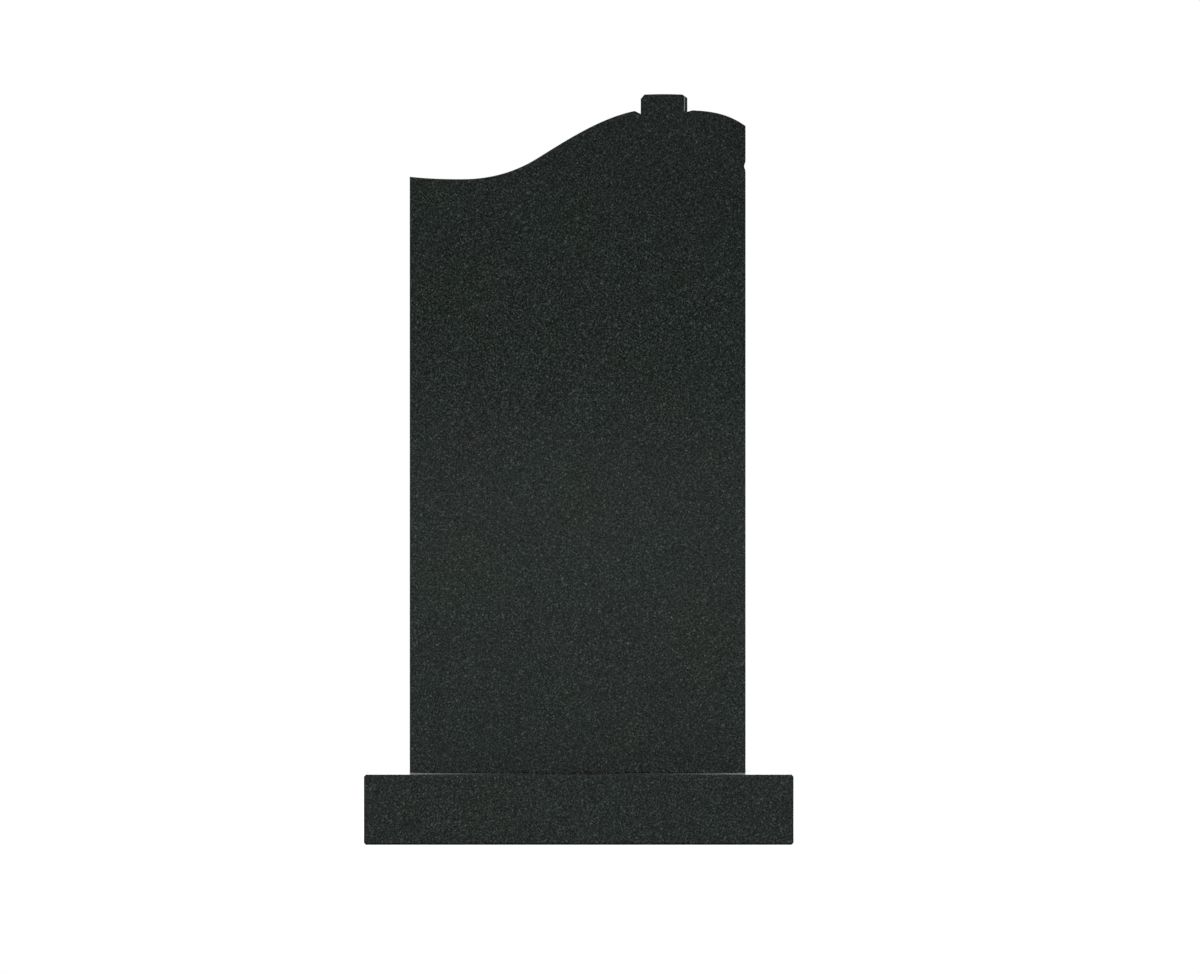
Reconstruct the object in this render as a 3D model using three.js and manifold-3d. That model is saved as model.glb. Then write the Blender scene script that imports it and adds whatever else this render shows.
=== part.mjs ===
// A headstone of polished gabbro: an upright slab with a wave along its top, standing on a low plinth.
// Millimetres, +Z up. The origin is the middle of the plinth's underside, and the slab's front faces -Y.
import * as THREE from 'three';
import { mergeVertices } from 'three/addons/utils/BufferGeometryUtils.js';
import Module from 'manifold-3d';

// The upright slab
const slabWidth = 500;
const slabThickness = 80;
const slabArris = 1.5;

// The wave along the slab's top, with its heights above the slab's foot
const leftShoulderHeight = 887.5;
const valleyHeight = 883.8;
const crestHeight = 988.1;
const rightShoulderHeight = 963.1;
const valleyFromLeft = 77;
const crestFromRight = 121.4;

// The wave's own form, as shares of its runs and rises: where its climb is steepest, and its slopes against
// the mean slope of the same stretch
const swellPlace = 0.38;
const swellRise = 0.308;
const leftShoulderSteepness = 2.4;
const swellSteepness = 1.82;
const crestSteepness = 0.45;
const rightShoulderSteepness = 3.5;
const waveStep = 8;

// The tab that stands on the crest. Its corners are cut off by hand, unlike each other, and its right side has
// a wider bevel than the other edges.
const tabWidth = 69.5;
const tabRise = 22.4;
const tabCrown = 1;
const leftCutWidth = 5.3;
const leftCutHeight = 6.4;
const rightCutWidth = 7;
const rightCutHeight = 4.7;
const tabBevel = 4;
const tabRoot = 25;

// The notches at the tab's foot, and the nick in the slab's right side
const leftNotchWidth = 9;
const leftNotchDepth = 6;
const rightNotchWidth = 7.5;
const rightNotchDepth = 2.4;
const nickBelowShoulder = 60;
const nickLength = 14;
const nickDepth = 2.2;

// The plinth, the joint between the two stones, and how far left of the plinth's middle the slab stands
const plinthWidth = 636;
const plinthDepth = 200;
const plinthHeight = 104;
const plinthChamfer = 3;
const bedJoint = 0.3;
const slabOffset = 1.8;

// How far a cutter reaches past the stone that it cuts
const overrun = 10;

const wasm = await Module();
wasm.setup();

const slabLeft = -slabWidth / 2;
const slabRight = slabWidth / 2;
const crestX = slabRight - crestFromRight;
const tabLeft = crestX - tabWidth / 2;
const tabRight = crestX + tabWidth / 2;

// The wave's turning points from left to right, each with its place, its height and its slope.
function waveKnots() {
  const valleyX = slabLeft + valleyFromLeft;
  const climbRun = crestX - valleyX;
  const climbRise = crestHeight - valleyHeight;
  const leftSlope = (valleyHeight - leftShoulderHeight) / valleyFromLeft;
  const climbSlope = climbRise / climbRun;
  const fallSlope = (rightShoulderHeight - crestHeight) / crestFromRight;
  return [
    { x: slabLeft, height: leftShoulderHeight, slope: leftShoulderSteepness * leftSlope },
    { x: valleyX, height: valleyHeight, slope: 0 },
    {
      x: valleyX + swellPlace * climbRun,
      height: valleyHeight + swellRise * climbRise,
      slope: swellSteepness * climbSlope,
    },
    { x: crestX, height: crestHeight, slope: crestSteepness * fallSlope },
    { x: slabRight, height: rightShoulderHeight, slope: rightShoulderSteepness * fallSlope },
  ];
}

const knots = waveKnots();

// The wave's height at x: a cubic between the two turning points on either side of it.
function waveHeight(x) {
  const next = Math.max(1, knots.findIndex((knot) => x <= knot.x));
  const from = knots[next - 1];
  const to = knots[next];
  const run = to.x - from.x;
  const t = (x - from.x) / run;
  const ease = t * t * (3 - 2 * t);
  const leave = t * (1 - t) * (1 - t);
  const arrive = t * t * (t - 1);
  return from.height + ease * (to.height - from.height) + run * (leave * from.slope + arrive * to.slope);
}

// An upright outline made into a stone of the given thickness, with its front and back edges bevelled.
function uprightStone(outline, thickness, arris) {
  const geometry = new THREE.ExtrudeGeometry(outline, {
    depth: thickness - 2 * arris,
    bevelThickness: arris,
    bevelSize: arris,
    bevelOffset: -arris,
    bevelSegments: 1,
    curveSegments: 8,
  });
  geometry.translate(0, 0, arris - thickness / 2);
  geometry.rotateX(Math.PI / 2);
  return geometry;
}

// A sharp-edged cutter that passes right through the slab's thickness.
function cutter(points) {
  const outline = new THREE.Shape(points.map(([x, height]) => new THREE.Vector2(x, height)));
  const reach = slabThickness + 2 * overrun;
  const geometry = new THREE.ExtrudeGeometry(outline, { depth: reach, bevelEnabled: false });
  geometry.translate(0, 0, -reach / 2);
  geometry.rotateX(Math.PI / 2);
  return geometry;
}

function slab() {
  const outline = new THREE.Shape();
  outline.moveTo(slabLeft, 0);
  outline.lineTo(slabRight, 0);
  const steps = Math.ceil(slabWidth / waveStep);
  for (let i = steps; i >= 0; i--) {
    const x = slabLeft + (slabWidth * i) / steps;
    outline.lineTo(x, waveHeight(x));
  }
  outline.closePath();
  return uprightStone(outline, slabThickness, slabArris);
}

// The tab's foot is buried in the slab, so that the two join in one stone.
function tab() {
  const top = crestHeight + tabRise;
  const side = top - tabCrown;
  const outline = new THREE.Shape();
  outline.moveTo(tabLeft, crestHeight - tabRoot);
  outline.lineTo(tabRight, crestHeight - tabRoot);
  outline.lineTo(tabRight, side - rightCutHeight);
  outline.lineTo(tabRight - rightCutWidth, side);
  outline.quadraticCurveTo(crestX, side + 2 * tabCrown, tabLeft + leftCutWidth, side);
  outline.lineTo(tabLeft, side - leftCutHeight);
  outline.closePath();
  return uprightStone(outline, slabThickness, slabArris);
}

// An upright bar with a diamond section, whose middle runs along one of the tab's right edges. It is taken off
// the tab to leave the bevel there: on the front edge where facing is -1, and on the back edge where it is 1.
function bevelBar(facing) {
  const corners = [[tabBevel, 0], [0, tabBevel], [-tabBevel, 0], [0, -tabBevel]];
  const section = new THREE.Shape(corners.map(([x, y]) => new THREE.Vector2(x, y)));
  const length = tabRoot + tabRise + 2 * overrun;
  const geometry = new THREE.ExtrudeGeometry(section, { depth: length, bevelEnabled: false });
  geometry.translate(tabRight, (facing * slabThickness) / 2, crestHeight - tabRoot - overrun);
  return geometry;
}

// A notch falls in a straight line from the wave to the tab's side, which is at tabSide. It lies to the left
// of the tab where outward is -1, and to the right where it is 1.
function notch(tabSide, outward, width, depth) {
  const floor = waveHeight(tabSide) - depth;
  const fall = (waveHeight(tabSide + outward * width) - floor) / width;
  const above = crestHeight + overrun;
  const reach = (above - floor) / Math.max(fall, 0.1);
  const points = [[tabSide, floor], [tabSide + outward * reach, floor + fall * reach], [tabSide, above]];
  return cutter(outward < 0 ? points.reverse() : points);
}

function nick() {
  const middle = rightShoulderHeight - nickBelowShoulder;
  const spread = (nickLength / 2) * (1 + overrun / nickDepth);
  return cutter([
    [slabRight - nickDepth, middle],
    [slabRight + overrun, middle - spread],
    [slabRight + overrun, middle + spread],
  ]);
}

// A block with all its edges chamfered, standing on its underside.
function block(width, depth, height, chamfer) {
  const x = width / 2;
  const y = depth / 2;
  const plan = new THREE.Shape();
  plan.moveTo(-x + chamfer, -y);
  plan.lineTo(x - chamfer, -y);
  plan.lineTo(x, -y + chamfer);
  plan.lineTo(x, y - chamfer);
  plan.lineTo(x - chamfer, y);
  plan.lineTo(-x + chamfer, y);
  plan.lineTo(-x, y - chamfer);
  plan.lineTo(-x, -y + chamfer);
  plan.closePath();
  const geometry = new THREE.ExtrudeGeometry(plan, {
    depth: height - 2 * chamfer,
    bevelThickness: chamfer,
    bevelSize: chamfer,
    bevelOffset: -chamfer,
    bevelSegments: 1,
  });
  geometry.translate(0, 0, chamfer);
  return geometry;
}

function toSolid(geometry) {
  geometry.deleteAttribute('normal');
  geometry.deleteAttribute('uv');
  const merged = mergeVertices(geometry, 1e-4);
  return new wasm.Manifold(new wasm.Mesh({
    numProp: 3,
    vertProperties: new Float32Array(merged.attributes.position.array),
    triVerts: new Uint32Array(merged.index.array),
  }));
}

function toGeometry(solid) {
  const mesh = solid.getMesh();
  const geometry = new THREE.BufferGeometry();
  geometry.setAttribute('position', new THREE.BufferAttribute(mesh.vertProperties, 3));
  geometry.setIndex(new THREE.BufferAttribute(mesh.triVerts, 1));
  geometry.computeVertexNormals();
  return geometry;
}

function stele() {
  const bevelledTab = toSolid(tab()).subtract(toSolid(bevelBar(-1))).subtract(toSolid(bevelBar(1)));
  const stone = toSolid(slab())
    .subtract(toSolid(notch(tabLeft, -1, leftNotchWidth, leftNotchDepth)))
    .subtract(toSolid(notch(tabRight, 1, rightNotchWidth, rightNotchDepth)))
    .subtract(toSolid(nick()))
    .add(bevelledTab);
  const material = new THREE.MeshStandardMaterial({ color: 0x282d2b, roughness: 0.2, metalness: 0 });
  const mesh = new THREE.Mesh(toGeometry(stone), material);
  mesh.name = 'stele';
  mesh.position.set(-slabOffset, 0, plinthHeight + bedJoint);
  return mesh;
}

function plinth() {
  const material = new THREE.MeshStandardMaterial({ color: 0x2a2e2d, roughness: 0.2, metalness: 0 });
  const mesh = new THREE.Mesh(block(plinthWidth, plinthDepth, plinthHeight, plinthChamfer), material);
  mesh.name = 'plinth';
  return mesh;
}

const headstone = new THREE.Group();
headstone.add(stele(), plinth());

export default headstone;
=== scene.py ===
import math

import bmesh
import bpy
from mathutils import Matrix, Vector


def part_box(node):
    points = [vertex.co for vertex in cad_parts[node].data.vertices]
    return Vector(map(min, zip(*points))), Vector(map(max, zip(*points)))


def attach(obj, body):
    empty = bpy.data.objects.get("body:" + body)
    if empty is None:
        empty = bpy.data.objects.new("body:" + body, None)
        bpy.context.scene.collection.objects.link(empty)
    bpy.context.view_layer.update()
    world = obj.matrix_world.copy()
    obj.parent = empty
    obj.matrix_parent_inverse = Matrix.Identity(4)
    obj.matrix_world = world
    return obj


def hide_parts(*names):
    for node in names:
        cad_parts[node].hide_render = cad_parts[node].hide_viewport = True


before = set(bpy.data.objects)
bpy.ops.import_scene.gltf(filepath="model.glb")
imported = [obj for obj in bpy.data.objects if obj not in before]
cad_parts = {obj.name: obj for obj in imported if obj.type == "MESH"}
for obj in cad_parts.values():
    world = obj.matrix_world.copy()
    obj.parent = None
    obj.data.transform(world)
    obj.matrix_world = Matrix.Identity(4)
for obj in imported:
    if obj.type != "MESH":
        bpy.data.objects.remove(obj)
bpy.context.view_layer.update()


# The upright slab
# One piece of gabbro, the dark stone that masons sell as black granite. It is sawn to thickness, its wave,
# tab, notches and nick are cut with the saw, and then its front, edges and top are ground and polished. Its
# back is left honed, and it stands by its own weight on the plinth.

slab_low, slab_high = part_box("stele")
slab_width = slab_high.x - slab_low.x

# The wave's turning points, as distances from the slab's left side and heights above its foot
left_shoulder = 0.8875
valley = 0.8838
valley_place = 0.077
crest = 0.9881
crest_from_right = 0.1214
crest_place = slab_width - crest_from_right
right_shoulder = 0.9631

# The swell is where the climb is steepest, as shares of the climb's run and rise
swell_run = 0.38
swell_rise = 0.308
swell_place = valley_place + swell_run * (crest_place - valley_place)
swell = valley + swell_rise * (crest - valley)

# The mean slopes of the wave's three stretches, and how steep it is at its turning points against them
dip = (valley - left_shoulder) / valley_place
climb = (crest - valley) / (crest_place - valley_place)
fall = (right_shoulder - crest) / (slab_width - crest_place)
left_shoulder_steepness = 2.4
swell_steepness = 1.82
crest_steepness = 0.45
right_shoulder_steepness = 3.5

# How far the tab's buried root reaches below the crest, and how far the nick lies below the right shoulder
tab_root = 0.025
nick_drop = 0.06

# Each turning point's place, height and slope
wave = {
    "Left Shoulder": (0.0, left_shoulder, left_shoulder_steepness * dip),
    "Valley": (valley_place, valley, 0.0),
    "Swell": (swell_place, swell, swell_steepness * climb),
    "Crest": (crest_place, crest, crest_steepness * fall),
    "Right Shoulder": (slab_width, right_shoulder, right_shoulder_steepness * fall),
}
slab_sizes = {
    "Left Side": slab_low.x,
    "Foot": slab_low.z,
    "Width": slab_width,
    "Thickness": slab_high.y - slab_low.y,
    "Arris": 0.0015,
    "Foot Arris": 0.0005,
    "Tab Width": 0.0695,
    "Tab Root": crest - tab_root,
    "Tab Top": slab_high.z - slab_low.z,
    "Tab Crown": 0.001,
    "Left Cut Width": 0.0053,
    "Left Cut Height": 0.0064,
    "Right Cut Width": 0.007,
    "Right Cut Height": 0.0047,
    "Bevel": 0.004,
    "Bevel Lip Width": 0.0048,
    "Bevel Lip Depth": 0.0018,
    "Left Notch Width": 0.009,
    "Left Notch Depth": 0.006,
    "Right Notch Width": 0.0075,
    "Right Notch Depth": 0.0024,
    "Nick Height": right_shoulder - nick_drop,
    "Nick Length": 0.014,
    "Nick Depth": 0.0022,
}
for turn, (distance, height, slope) in wave.items():
    slab_sizes[turn + " Place"] = distance
    slab_sizes[turn + " Height"] = height
    slab_sizes[turn + " Slope"] = slope


def add(tree, kind, settings, inputs):
    """A new node with its settings. Its inputs, in order or by name, are values, nodes or sockets."""
    node = tree.nodes.new(kind)
    for name, value in settings.items():
        setattr(node, name, value)
    live = [socket for socket in node.inputs if socket.enabled]
    named = {socket.name: socket for socket in live}
    for key, value in inputs.items() if isinstance(inputs, dict) else enumerate(inputs):
        socket = named[key] if isinstance(key, str) else live[key]
        if isinstance(value, bpy.types.Node):
            value = next(output for output in value.outputs if output.enabled)
        if isinstance(value, bpy.types.NodeSocket):
            tree.links.new(value, socket)
        else:
            socket.default_value = value
    return node


def linear(colour):
    """An sRGB hex colour as the linear numbers that a shader reads."""
    shares = [int(colour[i:i + 2], 16) / 255 for i in (1, 3, 5)]
    return [c / 12.92 if c <= 0.04045 else ((c + 0.055) / 1.055) ** 2.4 for c in shares] + [1.0]


def gabbro(name, quarry_place, roughness, bloom=0.0, saw_marks=0.0):
    """Gabbro: laths of grey feldspar and black pyroxene, grown into each other, each one to three mm across.
    quarry_place is where in the quarry the stone lay, so that no two are alike. bloom is how grey a surface
    looks because its scratches scatter light, and saw_marks is how deep they are, in millimetres."""
    # The patterns' sizes in millimetres, the laths' and crystals' parts in the tone, and the scratches' grey
    lath_size = 2.3
    crystal_size = 2.7
    cloud_size = 120
    polish_wave = 45
    polish_depth = 0.02
    saw_pitch = 12
    lath_share = 0.76
    crystal_share = 0.46
    tone_shift = -0.125
    scratched = linear("#7d827f")
    material = bpy.data.materials.new(name)
    material.use_nodes = True
    tree = material.node_tree
    tree.nodes.clear()
    place = add(tree, "ShaderNodeTexCoord", {}, []).outputs["Object"]

    # Millimetres, turned so that the grain lines up with none of the stone's faces
    point = add(tree, "ShaderNodeMapping", {}, {
        "Vector": place,
        "Location": quarry_place,
        "Rotation": (0.4, 0.9, 0.25),
        "Scale": (1000, 1000, 1000),
    })

    # The laths' tone wanders every few millimetres, and round dark crystals lie among them
    laths = add(tree, "ShaderNodeTexNoise", {}, {"Vector": point, "Scale": 1 / lath_size, "Detail": 0.0})
    crystals = add(tree, "ShaderNodeTexVoronoi", {},
                   {"Vector": point, "Scale": 1 / crystal_size, "Randomness": 0.85})
    lath_tone = add(tree, "ShaderNodeMath", {"operation": "MULTIPLY_ADD"}, [laths, lath_share, tone_shift])
    tone = add(tree, "ShaderNodeMath", {"operation": "MULTIPLY_ADD"}, [crystals, crystal_share, lath_tone])

    # The minerals, from the darkest grains to the palest
    minerals = add(tree, "ShaderNodeValToRGB", {}, [tone])
    ramp = minerals.color_ramp
    stops = {0.12: "#080a09", 0.4: "#191f1c", 0.65: "#313835", 0.92: "#57615c"}
    while len(ramp.elements) < len(stops):
        ramp.elements.new(0.5)
    for element, (position, colour) in zip(ramp.elements, stops.items()):
        element.position = position
        element.color = linear(colour)

    # Clouds a hand wide, where one mineral or another is a little more common, so that the tint wanders too
    cloud = add(tree, "ShaderNodeTexNoise", {}, {"Vector": point, "Scale": 1 / cloud_size, "Detail": 3.0})
    tint = add(tree, "ShaderNodeMapRange", {"data_type": "FLOAT_VECTOR"},
               [cloud.outputs["Color"], (0.3,) * 3, (0.7,) * 3, (0.95,) * 3, (1.05,) * 3])
    clouded = add(tree, "ShaderNodeMix", {"data_type": "RGBA", "blend_type": "MULTIPLY"},
                  [1.0, minerals.outputs["Color"], tint])
    colour = add(tree, "ShaderNodeMix", {"data_type": "RGBA"}, [bloom, clouded, scratched])

    # A polisher's pads leave the face very slightly wavy, and a saw leaves lines across it
    if saw_marks:
        surface = add(tree, "ShaderNodeTexWave", {"bands_direction": "Z"},
                      {"Vector": point, "Scale": 1 / saw_pitch, "Distortion": 3.0, "Detail": 3.0})
        depth = saw_marks
    else:
        surface = add(tree, "ShaderNodeTexNoise", {},
                      {"Vector": point, "Scale": 1 / polish_wave, "Detail": 1.0})
        depth = polish_depth
    bump = add(tree, "ShaderNodeBump", {},
               {"Strength": 1.0, "Distance": depth * 0.001, "Height": surface.outputs["Fac"]})

    # Feldspar takes a slightly duller polish than pyroxene
    gloss = add(tree, "ShaderNodeMapRange", {}, [tone, 0.0, 1.0, roughness * 0.8, roughness * 1.2])
    shader = add(tree, "ShaderNodeBsdfPrincipled", {},
                 {"Base Color": colour, "Roughness": gloss, "IOR": 1.6, "Normal": bump})
    add(tree, "ShaderNodeOutputMaterial", {}, [shader])
    return material


# The polish shows the grain in full depth and mirrors the room. The honed back is dull and a little greyer.
polished_slab = gabbro("polished gabbro, slab", (0, 0, 0), roughness=0.08)
honed_back = gabbro("honed gabbro, slab's back", (0, 0, 0), roughness=0.45, bloom=0.06, saw_marks=0.03)


def wave_height(tree, sizes, x):
    """The wave's height at x: between two turning points, the Bezier arc that leaves each at its slope."""
    turns = list(wave)
    height = None
    for start, end in zip(turns, turns[1:]):
        left, right = sizes[start + " Place"], sizes[end + " Place"]
        run = add(tree, "ShaderNodeMath", {"operation": "SUBTRACT"}, [right, left])
        third = add(tree, "ShaderNodeMath", {"operation": "DIVIDE"}, [run, 3.0])
        back = add(tree, "ShaderNodeMath", {"operation": "DIVIDE"}, [run, -3.0])
        leave = add(tree, "ShaderNodeMath", {"operation": "MULTIPLY_ADD"},
                    [sizes[start + " Slope"], third, sizes[start + " Height"]])
        arrive = add(tree, "ShaderNodeMath", {"operation": "MULTIPLY_ADD"},
                     [sizes[end + " Slope"], back, sizes[end + " Height"]])
        share = add(tree, "ShaderNodeMapRange", {}, [x, left, right])
        arc = [sizes[start + " Height"], leave, arrive, sizes[end + " Height"]]
        while len(arc) > 1:
            arc = [add(tree, "ShaderNodeMix", {}, [share, a, b]) for a, b in zip(arc, arc[1:])]
        if height is None:
            height = arc[0]
        else:
            past = add(tree, "ShaderNodeMath", {"operation": "GREATER_THAN"}, [x, left])
            height = add(tree, "ShaderNodeMix", {}, [past, height, arc[0]])
    return height


def block(tree, columns, left, width, foot, sizes, top_at):
    """A stone as thick as the slab, whose top follows top_at(x, u), where x is the distance from the slab's
    left side and u runs from -0.5 to 0.5 across the stone. Its front and back layers of points are drawn in
    by the arris, which is finer along the foot, where it only takes the edge off. The points stand in that
    many columns from side to side."""
    cube = add(tree, "GeometryNodeMeshCube", {}, {"Vertices X": columns, "Vertices Y": 4, "Vertices Z": 2})
    point = add(tree, "ShaderNodeSeparateXYZ", {}, [add(tree, "GeometryNodeInputPosition", {}, [])])
    u, v, w = point.outputs
    arris = sizes["Arris"]

    # The layers lie a half and a sixth to either side of the middle, and the arris draws in the outer two
    depth = add(tree, "ShaderNodeMath", {"operation": "ABSOLUTE"}, [v])
    outer = add(tree, "ShaderNodeMath", {"operation": "GREATER_THAN"}, [depth, 1 / 3])
    inset = add(tree, "ShaderNodeMath", {"operation": "MULTIPLY"}, [outer, arris])
    span = add(tree, "ShaderNodeMath", {"operation": "MULTIPLY_ADD"}, [inset, -2.0, width])
    middle = add(tree, "ShaderNodeMath", {"operation": "MULTIPLY_ADD"}, [width, 0.5, left])
    x = add(tree, "ShaderNodeMath", {"operation": "MULTIPLY_ADD"}, [u, span, middle])
    core = add(tree, "ShaderNodeMath", {"operation": "MULTIPLY_ADD"}, [sizes["Thickness"], 0.5, inset])
    reach = add(tree, "ShaderNodeMath", {"operation": "SUBTRACT"}, [core, arris])
    side = add(tree, "ShaderNodeMath", {"operation": "SIGN"}, [v])
    y = add(tree, "ShaderNodeMath", {"operation": "MULTIPLY"}, [side, reach])
    bottom = add(tree, "ShaderNodeMath", {"operation": "MULTIPLY_ADD"}, [outer, sizes["Foot Arris"], foot])
    top = add(tree, "ShaderNodeMath", {"operation": "SUBTRACT"}, [top_at(x, u), inset])
    rise = add(tree, "ShaderNodeMath", {"operation": "ADD"}, [w, 0.5])
    z = add(tree, "ShaderNodeMix", {}, [rise, bottom, top])
    corner = add(tree, "ShaderNodeCombineXYZ", {}, [x, y, z])
    return add(tree, "GeometryNodeSetPosition", {}, {"Geometry": cube, "Position": corner})


def diamond_bar(tree, place, reach, upright=False):
    """A bar with a diamond section, whose half width, half height and half length are its reach. It runs
    through the slab from front to back, or stands upright."""
    bar = add(tree, "GeometryNodeMeshCylinder", {}, {"Vertices": 4, "Radius": 1.0, "Depth": 2.0})
    turn = (0, 0, 0) if upright else (math.pi / 2, 0, 0)
    return add(tree, "GeometryNodeTransform", {}, {
        "Geometry": bar,
        "Translation": add(tree, "ShaderNodeCombineXYZ", {}, place),
        "Rotation": turn,
        "Scale": add(tree, "ShaderNodeCombineXYZ", {}, reach),
    })


def cut(tree, stone, bars):
    """The stone without what the bars take from it."""
    saw = add(tree, "GeometryNodeJoinGeometry", {}, [])
    for bar in bars:
        tree.links.new(bar.outputs["Geometry"], saw.inputs["Geometry"])
    return add(tree, "GeometryNodeMeshBoolean", {"operation": "DIFFERENCE", "solver": "EXACT"}, [stone, saw])


slab_tree = bpy.data.node_groups.new("slab with a wave", "GeometryNodeTree")
slab_tree.interface.new_socket("Geometry", in_out="OUTPUT", socket_type="NodeSocketGeometry")
for name in slab_sizes:
    slab_tree.interface.new_socket(name, in_out="INPUT", socket_type="NodeSocketFloat")
sizes = {socket.name: socket for socket in slab_tree.nodes.new("NodeGroupInput").outputs}
thickness = sizes["Thickness"]
front = add(slab_tree, "ShaderNodeMath", {"operation": "DIVIDE"}, [thickness, -2.0])
back = add(slab_tree, "ShaderNodeMath", {"operation": "DIVIDE"}, [thickness, 2.0])
half_tab = add(slab_tree, "ShaderNodeMath", {"operation": "DIVIDE"}, [sizes["Tab Width"], 2.0])
tab_left = add(slab_tree, "ShaderNodeMath", {"operation": "SUBTRACT"}, [sizes["Crest Place"], half_tab])
tab_right = add(slab_tree, "ShaderNodeMath", {"operation": "ADD"}, [sizes["Crest Place"], half_tab])

# Each notch falls in a straight line from the wave to the tab's side
notches = []
for name, side, direction in (("Left", tab_left, "SUBTRACT"), ("Right", tab_right, "ADD")):
    width, depth = sizes[name + " Notch Width"], sizes[name + " Notch Depth"]
    lip_place = add(slab_tree, "ShaderNodeMath", {"operation": direction}, [side, width])
    lip = wave_height(slab_tree, sizes, lip_place)
    uncut = wave_height(slab_tree, sizes, side)
    floor_height = add(slab_tree, "ShaderNodeMath", {"operation": "SUBTRACT"}, [uncut, depth])
    drop = add(slab_tree, "ShaderNodeMath", {"operation": "SUBTRACT"}, [lip, floor_height])
    notches.append(diamond_bar(slab_tree, [side, 0.0, lip], [width, drop, thickness]))
half_nick = add(slab_tree, "ShaderNodeMath", {"operation": "DIVIDE"}, [sizes["Nick Length"], 2.0])
nick = diamond_bar(slab_tree, [sizes["Width"], 0.0, sizes["Nick Height"]],
                   [sizes["Nick Depth"], half_nick, thickness])


def slab_top(x, u):
    """The slab's top is the wave."""
    return wave_height(slab_tree, sizes, x)


column_pitch = 0.005
slab_columns = round(slab_width / column_pitch) + 1
uncut_slab = block(slab_tree, slab_columns, 0.0, sizes["Width"], 0.0, sizes, slab_top)
cut_slab = cut(slab_tree, uncut_slab, [*notches, nick])


def tab_top(x, u):
    """The tab's top is slightly crowned."""
    squared = add(slab_tree, "ShaderNodeMath", {"operation": "MULTIPLY"}, [u, u])
    sag = add(slab_tree, "ShaderNodeMath", {"operation": "MULTIPLY"}, [squared, sizes["Tab Crown"]])
    return add(slab_tree, "ShaderNodeMath", {"operation": "MULTIPLY_ADD"}, [sag, -4.0, sizes["Tab Top"]])


# The tab's top corners are cut off, and its right edges have a wide bevel with a softer lip
tab_corner = add(slab_tree, "ShaderNodeMath", {"operation": "SUBTRACT"},
                 [sizes["Tab Top"], sizes["Tab Crown"]])
tab_columns = 13
uncut_tab = block(slab_tree, tab_columns, tab_left, sizes["Tab Width"], sizes["Tab Root"], sizes, tab_top)
corner_bars = [
    diamond_bar(slab_tree, [side, 0.0, tab_corner],
                [sizes[name + " Cut Width"], sizes[name + " Cut Height"], thickness])
    for name, side in (("Left", tab_left), ("Right", tab_right))
]
bevel_bars = [
    diamond_bar(slab_tree, [tab_right, face, sizes["Tab Top"]], [*reach, thickness], upright=True)
    for face in (front, back)
    for reach in ([sizes["Bevel"], sizes["Bevel"]], [sizes["Bevel Lip Width"], sizes["Bevel Lip Depth"]])
]
cut_tab = uncut_tab
for bar in corner_bars + bevel_bars:
    cut_tab = cut(slab_tree, cut_tab, [bar])

# The tab and the slab are one stone, which goes to its place on the plinth
stone = add(slab_tree, "GeometryNodeMeshBoolean", {"operation": "UNION", "solver": "EXACT"}, {})
for part in (cut_slab, cut_tab):
    slab_tree.links.new(part.outputs["Mesh"], stone.inputs["Mesh 2"])
stand = add(slab_tree, "ShaderNodeCombineXYZ", {}, [sizes["Left Side"], 0.0, sizes["Foot"]])
standing = add(slab_tree, "GeometryNodeTransform", {},
               {"Geometry": stone.outputs["Mesh"], "Translation": stand})
real = add(slab_tree, "GeometryNodeRealizeInstances", {}, {"Geometry": standing})

# All of it is polished but the faces that look straight back
polished = add(slab_tree, "GeometryNodeSetMaterial", {}, {"Geometry": real, "Material": polished_slab})
facing = add(slab_tree, "ShaderNodeSeparateXYZ", {}, [add(slab_tree, "GeometryNodeInputNormal", {}, [])])
at_back = add(slab_tree, "FunctionNodeCompare", {"operation": "GREATER_THAN"}, [facing.outputs["Y"], 0.9])
finished = add(slab_tree, "GeometryNodeSetMaterial", {},
               {"Geometry": polished, "Selection": at_back, "Material": honed_back})
add(slab_tree, "NodeGroupOutput", {}, [finished])

slab_maker = bpy.data.objects.new("slab maker", bpy.data.meshes.new("slab maker"))
bpy.context.scene.collection.objects.link(slab_maker)
modifier = slab_maker.modifiers.new("slab", "NODES")
modifier.node_group = slab_tree
for socket in slab_tree.interface.items_tree:
    if socket.in_out == "INPUT":
        modifier[socket.identifier] = slab_sizes[socket.name]
slab_mesh = bpy.data.meshes.new_from_object(slab_maker.evaluated_get(bpy.context.evaluated_depsgraph_get()))
slab_mesh.name = "slab"

# The wave is one smooth surface, while every arris and cut stays crisp
crease = math.radians(12)
slab_mesh.shade_smooth()
slab_mesh.set_sharp_from_angle(angle=crease)
bpy.data.objects.remove(slab_maker)
slab = bpy.data.objects.new("slab", slab_mesh)
bpy.context.scene.collection.objects.link(slab)
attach(slab, "root")
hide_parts("stele")


# The plinth
# A low block of the same gabbro that carries the slab and spreads its weight. Its edges are chamfered, its
# front, sides and top are polished, and its underside is left as it came off the saw.

plinth_chamfer = 0.003
plinth_easing = 0.0003
plinth_low, plinth_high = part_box("plinth")

# The plinth has the slab's polish, and the underside is dull, greyer and lined by the saw
plinth_quarry_place = (3000, 700, 500)
polished_plinth = gabbro("polished gabbro, plinth", plinth_quarry_place, roughness=0.08)
sawn_underside = gabbro("sawn gabbro, plinth's underside", plinth_quarry_place,
                        roughness=0.6, bloom=0.1, saw_marks=0.1)

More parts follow.
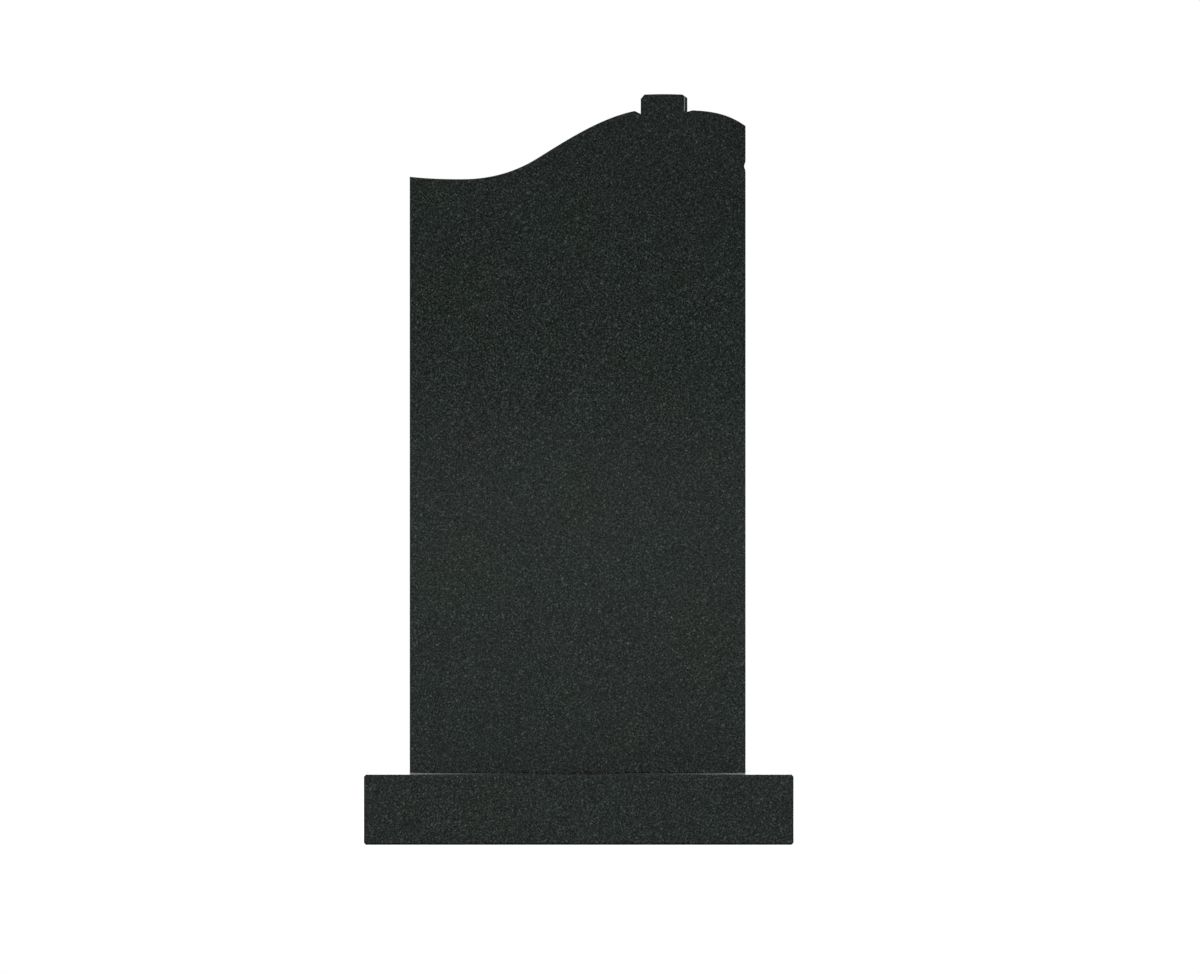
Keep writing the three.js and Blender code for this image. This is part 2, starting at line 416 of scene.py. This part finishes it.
# A painted highlight on the plinth's top, laid on as a sheen of stone dust. The sheen is full from the
# slab's ends outwards, where light from behind the slab falls on the top, and thins out towards the middle,
# where the slab shades it. It shows only to an eye that looks along the stone.
joint_sheen_weight = 0.43
joint_sheen_fade = 0.06
top_skin = 0.0002
slab_middle = (slab_low.x + slab_high.x) / 2
plinth_nodes = polished_plinth.node_tree
spot = add(plinth_nodes, "ShaderNodeSeparateXYZ", {}, [add(plinth_nodes, "ShaderNodeTexCoord", {}, []).outputs["Object"]])
on_top = add(plinth_nodes, "ShaderNodeMath", {"operation": "GREATER_THAN"},
             [spot.outputs["Z"], plinth_high.z - top_skin])
from_middle = add(plinth_nodes, "ShaderNodeMath", {"operation": "SUBTRACT"}, [spot.outputs["X"], slab_middle])
off_middle = add(plinth_nodes, "ShaderNodeMath", {"operation": "ABSOLUTE"}, [from_middle])
past_end = add(plinth_nodes, "ShaderNodeMath", {"operation": "SUBTRACT"}, [off_middle, slab_width / 2])
fades_past = add(plinth_nodes, "ShaderNodeMath", {"operation": "DIVIDE"}, [past_end, joint_sheen_fade])
thinned = add(plinth_nodes, "ShaderNodeMath", {"operation": "EXPONENT"}, [fades_past])
cover = add(plinth_nodes, "ShaderNodeMath", {"operation": "MINIMUM"}, [thinned, 1.0])
painted_sheen_mask = add(plinth_nodes, "ShaderNodeMath", {"operation": "MULTIPLY"}, [cover, on_top])
# Painted highlight: the sheen's weight follows where light from behind reaches the top past the slab's ends
painted_joint_sheen = add(plinth_nodes, "ShaderNodeMath", {"operation": "MULTIPLY"}, [painted_sheen_mask, joint_sheen_weight])
plinth_shader = plinth_nodes.nodes["Principled BSDF"]
plinth_nodes.links.new(painted_joint_sheen.outputs[0], plinth_shader.inputs["Sheen Weight"])
plinth_shader.inputs["Sheen Roughness"].default_value = 0.5

blank = bmesh.new()
bmesh.ops.create_cube(blank, size=1.0)
bmesh.ops.scale(blank, vec=plinth_high - plinth_low, verts=blank.verts)
bmesh.ops.translate(blank, vec=(plinth_low + plinth_high) / 2, verts=blank.verts)
bmesh.ops.bevel(blank, geom=blank.edges[:], offset=plinth_chamfer, segments=1, affect="EDGES")
bmesh.ops.bevel(blank, geom=blank.edges[:], offset=plinth_easing, segments=3, affect="EDGES")
for face in blank.faces:
    face.material_index = 1 if face.normal.z < -0.9 else 0
plinth_mesh = bpy.data.meshes.new("plinth_block")
blank.to_mesh(plinth_mesh)
blank.free()
plinth_mesh.materials.append(polished_plinth)
plinth_mesh.materials.append(sawn_underside)
plinth = bpy.data.objects.new("plinth_block", plinth_mesh)
bpy.context.scene.collection.objects.link(plinth)
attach(plinth, "root")
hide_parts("plinth")


# The studio
# A white floor under the stone, a pale room round it, a broad soft lamp in front and a narrow one to the
# right. The camera stands ten metres off, level, at half the stone's height, behind a long lens.

scene = bpy.context.scene
scene.view_settings.view_transform = "Standard"

floor_mesh = bpy.data.meshes.new("floor")
floor_corners = [(-3, -2.7, 0), (3, -2.7, 0), (3, 3, 0), (-3, 3, 0)]
floor_mesh.from_pydata(floor_corners, [], [(0, 1, 2, 3)])
floor = bpy.data.objects.new("floor", floor_mesh)
scene.collection.objects.link(floor)
paper = bpy.data.materials.new("lit white paper")
paper.use_nodes = True
paper_shader = paper.node_tree.nodes["Principled BSDF"]

# The paper is lit until it burns out white to the eye, while it sends little light back onto the stone
paper_glow = 0.1
paper_white = 0.88
to_eye = add(paper.node_tree, "ShaderNodeLightPath", {}, []).outputs["Is Camera Ray"]
lit = add(paper.node_tree, "ShaderNodeMix", {}, [to_eye, paper_glow, paper_white])
paper.node_tree.links.new(lit.outputs[0], paper_shader.inputs["Emission Strength"])
paper_shader.inputs["Base Color"].default_value = (0.8, 0.8, 0.8, 1.0)
paper_shader.inputs["Roughness"].default_value = 0.9
paper_shader.inputs["Specular IOR Level"].default_value = 0.0
paper_shader.inputs["Emission Color"].default_value = (1.0, 1.0, 1.0, 1.0)
floor_mesh.materials.append(paper)
floor.visible_glossy = False

# The room is white to the eye. The polished stone mirrors it dimmer: a pale ground up to the horizon, a
# darker wall over it that pales with height, a lit ceiling, and a bright sheet that hangs low behind the
# stone.
world = bpy.data.worlds.new("studio")
scene.world = world
world.use_nodes = True
room = world.node_tree
room.nodes.clear()
way = add(room, "ShaderNodeSeparateXYZ", {}, [add(room, "ShaderNodeTexCoord", {}, []).outputs["Generated"]])


def fade(axis, start, end, before, after, ease="LINEAR"):
    """A value that goes from before to after as the way into the room turns from start to end along axis."""
    return add(room, "ShaderNodeMapRange", {"interpolation_type": ease},
               [way.outputs[axis], start, end, before, after])


near_ground = 0.155
far_ground = 0.225
low_wall = 0.045
high_wall = 0.105
ceiling = 0.22
sheet_glow = 1.5

ground = fade("Z", -0.03, 0.0, near_ground, far_ground)
wall = fade("Z", 0.015, 0.065, low_wall, high_wall)
overhead = fade("Z", 0.4, 0.9, 0.0, 1.0)
upper_room = add(room, "ShaderNodeMix", {}, [overhead, wall, ceiling])
over_horizon = fade("Z", 0.003, 0.015, 0.0, 1.0, "SMOOTHSTEP")
open_room = add(room, "ShaderNodeMix", {}, [over_horizon, ground, upper_room])

# The ground is dark right under the stone
underfoot = fade("Z", -0.7, -0.2, 0.0, 1.0)
dim = add(room, "ShaderNodeMath", {"operation": "MULTIPLY"}, [open_room, underfoot])

behind = fade("Y", 0.15, 0.5, 0.0, 1.0, "SMOOTHSTEP")
sheet_foot = fade("Z", -0.04, 0.0, 0.0, 1.0)
sheet_head = fade("Z", 0.15, 0.35, 1.0, 0.0, "SMOOTHSTEP")
sheet_height = add(room, "ShaderNodeMath", {"operation": "MULTIPLY"}, [sheet_foot, sheet_head])
sheet = add(room, "ShaderNodeMath", {"operation": "MULTIPLY"}, [behind, sheet_height])
glow = add(room, "ShaderNodeMix", {}, [sheet, dim, sheet_glow])
to_eye = add(room, "ShaderNodeLightPath", {}, []).outputs["Is Camera Ray"]
brightness = add(room, "ShaderNodeMix", {}, [to_eye, glow, 1.0])
sky = add(room, "ShaderNodeBackground", {}, {"Color": (1, 1, 1, 1), "Strength": brightness})
add(room, "ShaderNodeOutputWorld", {}, [sky])

# Each softbox: its place, the height that it looks at, its width and height, its power in watts, and how far
# its grid lets the light spread, in degrees. The broad one lights the face evenly from the plinth to the
# wave. The narrow one shows as a line in the tab's bevel.
softboxes = {
    "key": ((-0.6, -4.8, 2.4), 0.35, 1.6, 1.6, 7.5, 30),
    "strip": ((2.5, -2.65, 1.3), 1.0, 0.3, 1.0, 2.9, 180),
}
for name, (place, aim, width, height, power, spread) in softboxes.items():
    light = bpy.data.lights.new(name, "AREA")
    light.shape = "RECTANGLE"
    light.size = width
    light.size_y = height
    light.energy = power
    light.spread = math.radians(spread)
    softbox = bpy.data.objects.new(name, light)
    softbox.location = place
    softbox.rotation_euler = (Vector((0, 0, aim)) - Vector(place)).to_track_quat("-Z", "Y").to_euler()
    scene.collection.objects.link(softbox)

camera_from_middle = 0.0315
camera_distance = 10.0
camera_height = 0.5305
camera_data = bpy.data.cameras.new("camera")
camera_data.sensor_width = 36.0
camera_data.lens = 201.5
camera_data.clip_end = 100.0
camera = bpy.data.objects.new("camera", camera_data)
camera.location = (camera_from_middle, slab_low.y - camera_distance, camera_height)
camera.rotation_euler = (math.pi / 2, 0, 0)
scene.collection.objects.link(camera)
scene.camera = camera
